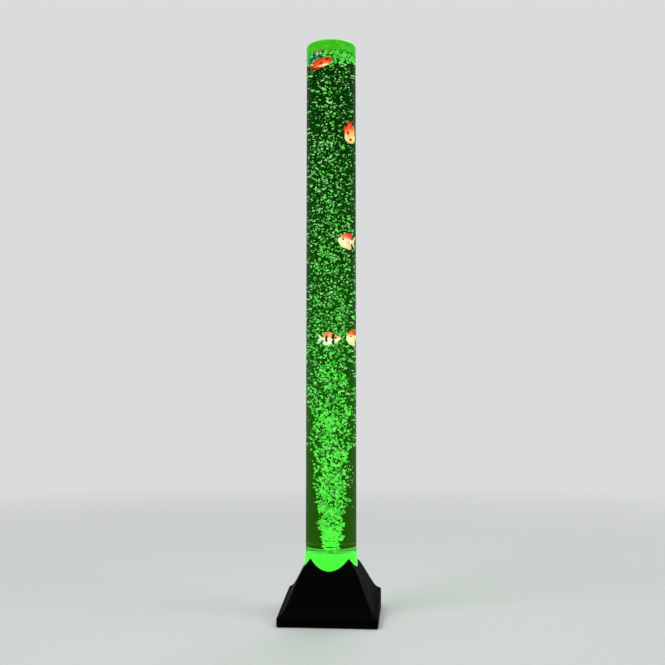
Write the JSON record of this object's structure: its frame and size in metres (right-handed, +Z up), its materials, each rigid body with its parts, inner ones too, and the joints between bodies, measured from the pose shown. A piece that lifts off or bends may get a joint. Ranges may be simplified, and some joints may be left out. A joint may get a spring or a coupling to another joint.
{
  "type": "bubble tube floor lamp",
  "caption": "Tall clear water tube with floating plastic fish, lit from below through a glowing collar, on a square sloping base that holds an air pump.",
  "frame": {"origin": "on the floor, under the tube's axis", "axes": "+Z up along the tube, front towards -Y, buttons and power inlet towards +Y"},
  "size_m": [0.2, 0.2, 1.2],
  "materials": {
    "black_abs": "fine moulded texture",
    "foot_rubber": "matt",
    "zinc_screws": "zinc plated",
    "seat_nylon": "moulded",
    "glow_collar": "frosted, lit from below",
    "white_plastic": "satin",
    "white_board": "solder mask",
    "lamp_lens": "clear lens, lit",
    "frosted_acrylic": "opal",
    "gasket_silicone": "soft",
    "clear_acrylic": "clear, polished",
    "lid_acrylic": "clear, light piped up the wall",
    "clear_nylon": "natural nylon",
    "hose_silicone": "clear",
    "valve_blue": "clear blue",
    "ball_white": "smooth",
    "pump_case": "moulded",
    "core_iron": "stacked sheet steel",
    "coil_copper": "enamelled copper wire",
    "green_board": "solder mask",
    "black_parts": "moulded",
    "button_black": "satin",
    "lead_black": "PVC sleeve",
    "lead_red": "PVC sleeve",
    "orange_fish": "painted",
    "teal_fish": "painted",
    "red_fish": "painted",
    "cream_fish": "painted",
    "striped_fish": "painted",
    "small_fish": "painted"
  },
  "bodies": {
    "root": {"base_shell": "black_abs", "base_plate": "black_abs", "rubber_feet": "foot_rubber", "pump_mounts": "foot_rubber", "nozzle_washer": "foot_rubber", "shell_screws": "zinc_screws", "seat_screws": "zinc_screws", "holder_screws": "zinc_screws", "jack_nut": "zinc_screws", "pump_pin": "zinc_screws", "tube_seat": "seat_nylon", "light_collar": "glow_collar", "lamp_holder": "white_plastic", "pump_valve_block": "white_plastic", "led_board": "white_board", "leds": "lamp_lens", "diffuser": "frosted_acrylic", "tube_gasket": "gasket_silicone", "acrylic_tube": "clear_acrylic", "end_disc": "clear_acrylic", "air_nozzle": "clear_nylon", "nozzle_nut": "clear_nylon", "valve_hose": "hose_silicone", "air_hose": "hose_silicone", "check_valve": "valve_blue", "pump_tray": "pump_case", "pump_cover": "pump_case", "pump_core": "core_iron", "pump_coil": "coil_copper", "control_board": "green_board", "board_parts": "black_parts", "switch_bodies": "black_parts", "dc_jack": "black_parts", "led_lead": "lead_black", "pump_lead": "lead_black", "jack_lead": "lead_red"},
    "lid": {"top_lid": "lid_acrylic"},
    "orange_swimmer": {"fish_orange": "orange_fish"},
    "teal_swimmer": {"fish_teal": "teal_fish"},
    "red_swimmer": {"fish_red": "red_fish"},
    "cream_swimmer": {"fish_cream": "cream_fish"},
    "striped_swimmer": {"fish_striped": "striped_fish"},
    "small_swimmer": {"fish_small": "small_fish"},
    "light_button": {"light_button": "button_black"},
    "bubble_button": {"bubble_button": "button_black"},
    "lever": {"pump_lever": "white_plastic", "pump_magnet": "core_iron", "pump_diaphragm": "foot_rubber"},
    "valve_ball": {"valve_ball": "ball_white"}
  },
  "joints": [
    {"name": "lid_lift", "type": "slide", "parent": "root", "child": "lid", "axis": [0, 0, 1], "range_m": [0, 0.06]},
    {"name": "orange_swim", "type": "slide", "parent": "root", "child": "orange_swimmer", "axis": [0, 0, 1], "range_m": [-0.15, 0]},
    {"name": "teal_swim", "type": "slide", "parent": "root", "child": "teal_swimmer", "axis": [0, 0, 1], "range_m": [-0.15, 0]},
    {"name": "red_swim", "type": "slide", "parent": "root", "child": "red_swimmer", "axis": [0, 0, 1], "range_m": [-0.08, 0.08]},
    {"name": "cream_swim", "type": "slide", "parent": "root", "child": "cream_swimmer", "axis": [0, 0, 1], "range_m": [-0.08, 0.08]},
    {"name": "striped_swim", "type": "slide", "parent": "root", "child": "striped_swimmer", "axis": [0, 0, 1], "range_m": [-0.08, 0.08]},
    {"name": "small_swim", "type": "slide", "parent": "root", "child": "small_swimmer", "axis": [0, 0, 1], "range_m": [-0.08, 0.08]},
    {"name": "light_press", "type": "slide", "parent": "root", "child": "light_button", "axis": [0, -1, 0], "range_m": [0, 0.0012], "stiffness_N_per_m": 600},
    {"name": "bubble_press", "type": "slide", "parent": "root", "child": "bubble_button", "axis": [0, -1, 0], "range_m": [0, 0.0012], "stiffness_N_per_m": 600},
    {"name": "lever_swing", "type": "hinge", "parent": "root", "child": "lever", "pos_m": [0.012, -0.012, 0.03], "axis": [0, 0, 1], "range_deg": [-1, 1], "stiffness_Nm_per_rad": 0.4},
    {"name": "ball_lift", "type": "slide", "parent": "root", "child": "valve_ball", "axis": [0, 0, 1], "range_m": [0, 0.002]}
  ]
}
